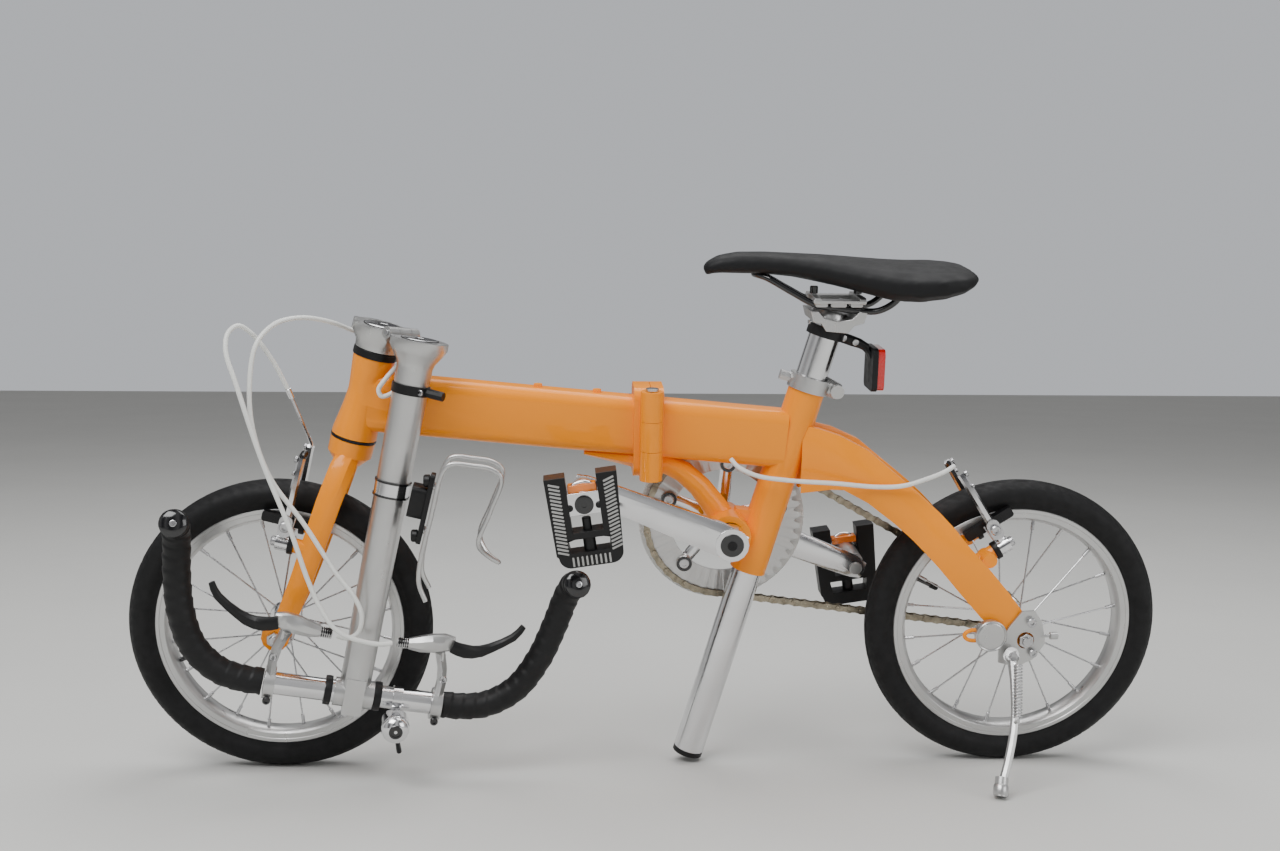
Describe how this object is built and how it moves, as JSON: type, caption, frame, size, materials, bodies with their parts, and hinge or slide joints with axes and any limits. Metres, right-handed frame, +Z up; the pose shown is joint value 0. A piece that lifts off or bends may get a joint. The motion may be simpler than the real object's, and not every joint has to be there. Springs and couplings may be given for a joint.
{
  "type": "folding bicycle",
  "caption": "Small-wheeled folding bicycle with a hinged frame, dropped bars on a folded handlepost, lowered saddle and a side kickstand",
  "frame": {"origin": "middle of the underside of the bounding box: the floor under the middle of the bicycle as it leans on its kickstand", "axes": "+X to the rear wheel, +Y away from the kickstand side, to the chain side, +Z up from the floor"},
  "size_m": [1.1326, 0.2994, 0.5693],
  "materials": {
    "paint": "gloss",
    "satin_alloy": "satin",
    "polished_alloy": "polished",
    "steel": "satin",
    "chain_metal": "satin",
    "black_plastic": "matte",
    "tyre_rubber": "matte",
    "bar_wrap": "matte",
    "saddle_cover": "matte",
    "cable_housing": "gloss",
    "guard_plastic": "translucent",
    "red_lens": "gloss"
  },
  "bodies": {
    "rear_half": {"rear_frame": "paint", "left_stay": "paint", "right_stay": "paint", "seat_clamp": "satin_alloy", "chain": "chain_metal", "rear_axle": "steel", "kickstand_bracket": "satin_alloy", "rear_brake_cable": "cable_housing"},
    "saddle_unit": {"seatpost": "polished_alloy", "seatpost_foot": "black_plastic", "saddle_clamp": "satin_alloy", "saddle_rails": "black_plastic", "saddle": "saddle_cover", "reflector_bracket": "black_plastic", "rear_reflector": "red_lens"},
    "crankset": {"crank_spindle": "steel", "left_crank": "polished_alloy", "right_crank": "polished_alloy", "chainring": "satin_alloy", "chain_guard": "guard_plastic"},
    "left_pedal": {"left_pedal_block": "satin_alloy"},
    "left_pedal_platform": {"left_pedal_platform": "black_plastic"},
    "right_pedal": {"right_pedal_block": "satin_alloy"},
    "right_pedal_platform": {"right_pedal_platform": "black_plastic"},
    "rear_wheel": {"rear_tyre": "tyre_rubber", "rear_rim": "satin_alloy", "rear_hub": "polished_alloy"},
    "rear_sprocket": {"rear_cog": "chain_metal"},
    "front_half": {"front_frame": "paint", "hinge_pin": "steel", "headset": "black_plastic"},
    "frame_latch": {"frame_latch": "satin_alloy"},
    "fork": {"fork": "paint", "handlepost_base": "satin_alloy", "handlepost_hinge_pin": "steel", "front_axle": "steel"},
    "front_wheel": {"front_tyre": "tyre_rubber", "front_rim": "satin_alloy", "front_hub": "polished_alloy"},
    "handlepost_latch": {"handlepost_latch": "satin_alloy"},
    "handlepost": {"handlepost": "satin_alloy", "handlebar": "polished_alloy", "left_bar_tape": "bar_wrap", "right_bar_tape": "bar_wrap", "left_lever_body": "satin_alloy", "right_lever_body": "satin_alloy", "bell": "polished_alloy", "front_bracket": "black_plastic", "bottle_cage": "satin_alloy", "front_brake_cable": "cable_housing", "rear_brake_cable_front": "cable_housing"},
    "left_brake_lever": {"left_brake_lever": "black_plastic"},
    "right_brake_lever": {"right_brake_lever": "black_plastic"},
    "bell_striker": {"bell_striker": "black_plastic"},
    "front_left_brake_arm": {"front_left_brake_arm": "polished_alloy"},
    "front_right_brake_arm": {"front_right_brake_arm": "polished_alloy"},
    "rear_left_brake_arm": {"rear_left_brake_arm": "polished_alloy"},
    "rear_right_brake_arm": {"rear_right_brake_arm": "polished_alloy"},
    "kickstand": {"kickstand_leg": "satin_alloy", "kickstand_spring": "steel"}
  },
  "joints": [
    {"name": "frame_fold", "type": "hinge", "parent": "rear_half", "child": "front_half", "pos_m": [-0.0052, -0.05255, 0.37416], "axis": [0, -0.1501, 0.9887], "range_deg": [0, 60]},
    {"name": "frame_latch_swing", "type": "hinge", "parent": "front_half", "child": "frame_latch", "pos_m": [-0.0142, 0.02184, 0.39051], "axis": [0, 0.1501, -0.9887], "range_deg": [0, 100]},
    {"name": "steering", "type": "hinge", "parent": "front_half", "child": "fork", "pos_m": [-0.2963, -0.03049, 0.45539], "axis": [0.2656, -0.1447, 0.9532], "range_deg": [-75, 1.5]},
    {"name": "handlepost_fold", "type": "hinge", "parent": "fork", "child": "handlepost", "pos_m": [-0.26627, -0.05339, 0.48006], "axis": [-0.6363, -0.7691, 0.0606], "range_deg": [0, 18], "deforming": ["front_brake_cable", "rear_brake_cable_front"]},
    {"name": "handlepost_latch_swing", "type": "hinge", "parent": "fork", "child": "handlepost_latch", "pos_m": [-0.31589, -0.0115, 0.4908], "axis": [0.2656, -0.1447, 0.9532], "range_deg": [0, 90]},
    {"name": "front_wheel_spin", "type": "hinge", "parent": "fork", "child": "front_wheel", "pos_m": [-0.4028, 0.014, 0.16225], "axis": [0, 0.9887, 0.1501], "continuous": true},
    {"name": "rear_wheel_spin", "type": "hinge", "parent": "rear_half", "child": "rear_wheel", "pos_m": [0.4028, 0.014, 0.16225], "axis": [0, 0.9887, 0.1501], "continuous": true},
    {"name": "crank_spin", "type": "hinge", "parent": "rear_half", "child": "crankset", "pos_m": [0.0803, -0.00221, 0.26903], "axis": [0, 0.9887, 0.1501], "range_deg": [-20, 290]},
    {"name": "rear_sprocket_spin", "type": "hinge", "parent": "rear_half", "child": "rear_sprocket", "pos_m": [0.4028, 0.014, 0.16225], "axis": [0, 0.9887, 0.1501], "continuous": true},
    {"name": "left_pedal_spin", "type": "hinge", "parent": "crankset", "child": "left_pedal", "pos_m": [-0.07732, -0.01176, 0.33199], "axis": [0, 0.9887, 0.1501], "continuous": true},
    {"name": "left_pedal_fold", "type": "hinge", "parent": "left_pedal", "child": "left_pedal_platform", "pos_m": [-0.0757, -0.12086, 0.30443], "axis": [-0.989, 0.0222, -0.1461], "range_deg": [0, 90]},
    {"name": "right_pedal_spin", "type": "hinge", "parent": "crankset", "child": "right_pedal", "pos_m": [0.23792, 0.00735, 0.20606], "axis": [0, 0.9887, 0.1501], "continuous": true},
    {"name": "right_pedal_fold", "type": "hinge", "parent": "right_pedal", "child": "right_pedal_platform", "pos_m": [0.23955, 0.11971, 0.21211], "axis": [0.989, -0.0222, 0.1461], "range_deg": [0, 90]},
    {"name": "seatpost_slide", "type": "slide", "parent": "rear_half", "child": "saddle_unit", "axis": [0.275, -0.1443, 0.9506], "range_m": [0, 0.33]},
    {"name": "kickstand_swing", "type": "hinge", "parent": "rear_half", "child": "kickstand", "pos_m": [0.3858, -0.05323, 0.13869], "axis": [-0.235, -0.8565, 0.4596], "range_deg": [0, 100]},
    {"name": "left_brake_squeeze", "type": "hinge", "parent": "handlepost", "child": "left_brake_lever", "pos_m": [-0.38889, -0.0838, 0.1836], "axis": [0.1411, -0.9837, -0.1112], "range_deg": [0, 14], "stiffness_Nm_per_rad": 0.6, "springref_deg": -14.32},
    {"name": "right_brake_squeeze", "type": "hinge", "parent": "handlepost", "child": "right_brake_lever", "pos_m": [-0.21411, -0.0551, 0.15151], "axis": [-0.1411, 0.9837, 0.1112], "range_deg": [0, 14], "stiffness_Nm_per_rad": 0.6, "springref_deg": -14.32},
    {"name": "bell_ring", "type": "hinge", "parent": "handlepost", "child": "bell_striker", "pos_m": [-0.27234, -0.05017, 0.05194], "axis": [-0.1411, 0.9837, 0.1112], "range_deg": [-15, 15], "stiffness_Nm_per_rad": 0.02},
    {"name": "front_left_arm_swing", "type": "hinge", "parent": "fork", "child": "front_left_brake_arm", "pos_m": [-0.3922, -0.03712, 0.25918], "axis": [-0.9707, -0.036, 0.2375], "range_deg": [0, 4]},
    {"name": "front_right_arm_swing", "type": "hinge", "parent": "fork", "child": "front_right_brake_arm", "pos_m": [-0.3922, 0.03406, 0.26998], "axis": [0.9707, 0.036, -0.2375], "range_deg": [0, 4]},
    {"name": "rear_left_arm_swing", "type": "hinge", "parent": "rear_half", "child": "rear_left_brake_arm", "pos_m": [0.3788, -0.03645, 0.25473], "axis": [-0.8418, 0.081, -0.5337], "range_deg": [0, 4]},
    {"name": "rear_right_arm_swing", "type": "hinge", "parent": "rear_half", "child": "rear_right_brake_arm", "pos_m": [0.3788, 0.03474, 0.26553], "axis": [0.8418, -0.081, 0.5337], "range_deg": [0, 4]}
  ],
  "couplings": [
    {"joint": "rear_sprocket_spin", "follows": "crank_spin", "ratio": 4.2},
    {"joint": "front_left_arm_swing", "follows": "right_brake_squeeze", "ratio": 0.28},
    {"joint": "front_right_arm_swing", "follows": "right_brake_squeeze", "ratio": 0.28},
    {"joint": "rear_left_arm_swing", "follows": "left_brake_squeeze", "ratio": 0.28},
    {"joint": "rear_right_arm_swing", "follows": "left_brake_squeeze", "ratio": 0.28}
  ]
}
